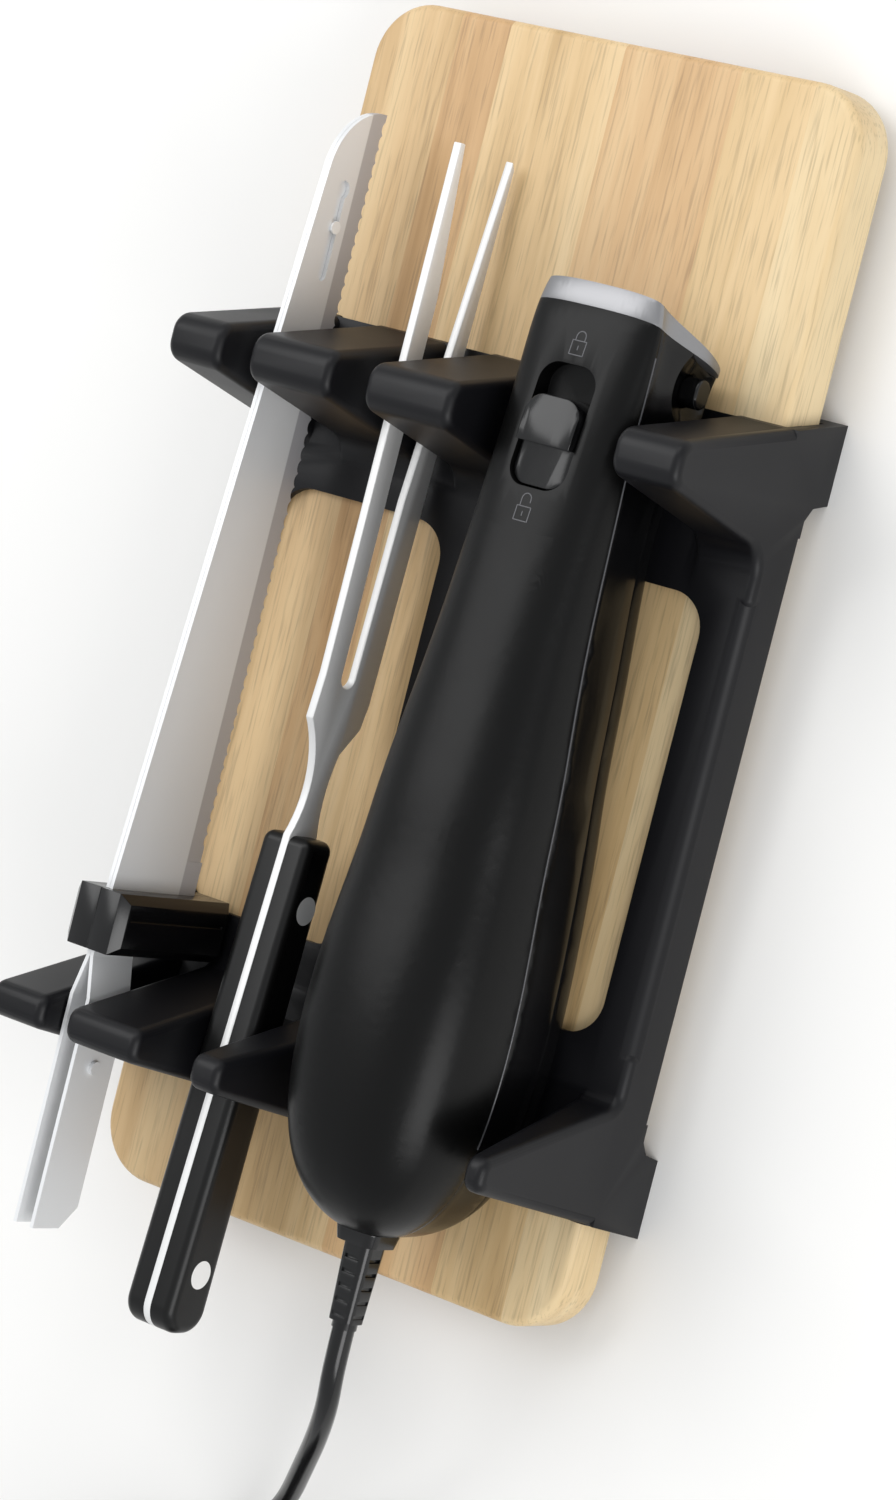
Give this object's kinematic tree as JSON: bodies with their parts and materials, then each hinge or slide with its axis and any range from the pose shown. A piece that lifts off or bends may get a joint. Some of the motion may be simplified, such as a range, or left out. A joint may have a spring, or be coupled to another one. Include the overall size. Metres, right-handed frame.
{
  "type": "electric carving knife set",
  "caption": "Electric carving knife with a cord, a pair of saw blades and a carving fork, held by a clip-on tray on a wooden board.",
  "frame": {"origin": "middle of the set without its cord, on the surface it lies on", "axes": "+Y up the board towards its top edge, +X to the right across it, +Z out of its face"},
  "size_m": [0.256, 0.5466, 0.0886],
  "materials": {
    "board_pale": "oiled satin",
    "board_warm": "oiled satin",
    "tray_black": "satin moulded",
    "housing_black": "satin moulded",
    "collar_silver": "satin silver coat",
    "control_black": "semi-gloss",
    "blade_steel": "lengthwise brushed",
    "fork_steel": "satin",
    "rivet_steel": "turned",
    "handle_black": "satin moulded",
    "cord_black": "semi-gloss",
    "pin_brass": "plated",
    "motor_steel": "plated",
    "magnet_grey": "sintered",
    "armature_copper": "wound",
    "brush_carbon": "carbon",
    "bush_bronze": "sintered",
    "shaft_steel": "ground",
    "gear_nylon": "moulded",
    "fan_plastic": "moulded",
    "screw_steel": "plated",
    "spring_steel": "drawn"
  },
  "bodies": {
    "tray": {"storage_tray": "tray_black"},
    "board": {"board_stave_1": "board_pale", "board_stave_2": "board_warm", "board_stave_3": "board_pale", "board_stave_4": "board_warm", "board_stave_5": "board_pale", "board_stave_6": "board_pale"},
    "knife": {"nose_collar": "collar_silver", "top_cover": "housing_black", "mid_housing": "housing_black", "base_cover": "housing_black", "housing_screws": "screw_steel", "switch_body": "control_black", "trigger_spring": "spring_steel", "motor_can": "motor_steel", "motor_magnets": "magnet_grey", "motor_end_cap": "fan_plastic", "brushes": "brush_carbon", "rear_bush": "bush_bronze", "front_bush": "bush_bronze", "nose_bush": "bush_bronze", "gearbox_frame": "fan_plastic", "gear_axle": "shaft_steel", "strain_relief": "cord_black", "power_cord": "cord_black", "cord_coil": "cord_black", "cord_tail": "cord_black", "cord_tie": "cord_black", "plug_body": "cord_black", "plug_pins": "pin_brass"},
    "slider": {"lock_slider": "control_black"},
    "trigger_pad": {"trigger": "control_black"},
    "button_left": {"release_button_left": "control_black"},
    "button_right": {"release_button_right": "control_black"},
    "armature": {"worm_shaft": "shaft_steel", "armature_core": "armature_copper", "commutator": "pin_brass", "motor_fan": "fan_plastic"},
    "gear": {"drive_gear": "gear_nylon"},
    "carrier_left": {"blade_carrier_left": "gear_nylon"},
    "carrier_right": {"blade_carrier_right": "gear_nylon"},
    "blade_pair": {"blade_left": "blade_steel", "blade_guard_left": "control_black", "blade_rivet": "rivet_steel"},
    "second_blade": {"blade_right": "blade_steel", "blade_guard_right": "control_black"},
    "fork": {"fork_blade": "fork_steel", "fork_scale_left": "handle_black", "fork_scale_right": "handle_black", "fork_rivets": "rivet_steel"}
  },
  "joints": [
    {"name": "board_slide", "type": "slide", "parent": "tray", "child": "board", "axis": [0, 1, 0], "range_m": [0, 0.3]},
    {"name": "knife_lift", "type": "slide", "parent": "tray", "child": "knife", "axis": [0, 0, 1], "range_m": [0, 0.12]},
    {"name": "slider_lock", "type": "slide", "parent": "knife", "child": "slider", "axis": [0, 1, 0], "range_m": [0, 0.009]},
    {"name": "trigger_press", "type": "slide", "parent": "knife", "child": "trigger_pad", "axis": [0, 0, 1], "range_m": [0, 0.003], "stiffness_N_per_m": 400, "springref_m": -0.001, "deforming": ["trigger_spring"]},
    {"name": "button_left_press", "type": "slide", "parent": "knife", "child": "button_left", "axis": [1, 0, 0], "range_m": [0, 0.003], "stiffness_N_per_m": 400, "springref_m": -0.001},
    {"name": "button_right_press", "type": "slide", "parent": "knife", "child": "button_right", "axis": [-1, 0, 0], "range_m": [0, 0.003], "stiffness_N_per_m": 400, "springref_m": -0.001},
    {"name": "motor_spin", "type": "hinge", "parent": "knife", "child": "armature", "pos_m": [0.04, 0, 0.06], "axis": [0, 1, 0], "range_deg": [-1190, 1190]},
    {"name": "gear_turn", "type": "hinge", "parent": "knife", "child": "gear", "pos_m": [0.04, 0.015, 0.044], "axis": [1, 0, 0], "range_deg": [-50, 50]},
    {"name": "carrier_left_stroke", "type": "slide", "parent": "knife", "child": "carrier_left", "axis": [0, 1, 0], "range_m": [-0.0041, 0.0041]},
    {"name": "carrier_right_stroke", "type": "slide", "parent": "knife", "child": "carrier_right", "axis": [0, 1, 0], "range_m": [-0.0041, 0.0041]},
    {"name": "blades_lift", "type": "slide", "parent": "tray", "child": "blade_pair", "axis": [0, 0, 1], "range_m": [0, 0.1]},
    {"name": "blade_stroke", "type": "slide", "parent": "blade_pair", "child": "second_blade", "axis": [0, 1, 0], "range_m": [0, 0.003]},
    {"name": "fork_lift", "type": "slide", "parent": "tray", "child": "fork", "axis": [0, 0, 1], "range_m": [0, 0.1]}
  ],
  "couplings": [
    {"joint": "gear_turn", "follows": "motor_spin", "ratio": 0.041667},
    {"joint": "carrier_left_stroke", "follows": "motor_spin", "m_per_rad": -0.00019187},
    {"joint": "carrier_right_stroke", "follows": "motor_spin", "m_per_rad": 0.00019187}
  ]
}
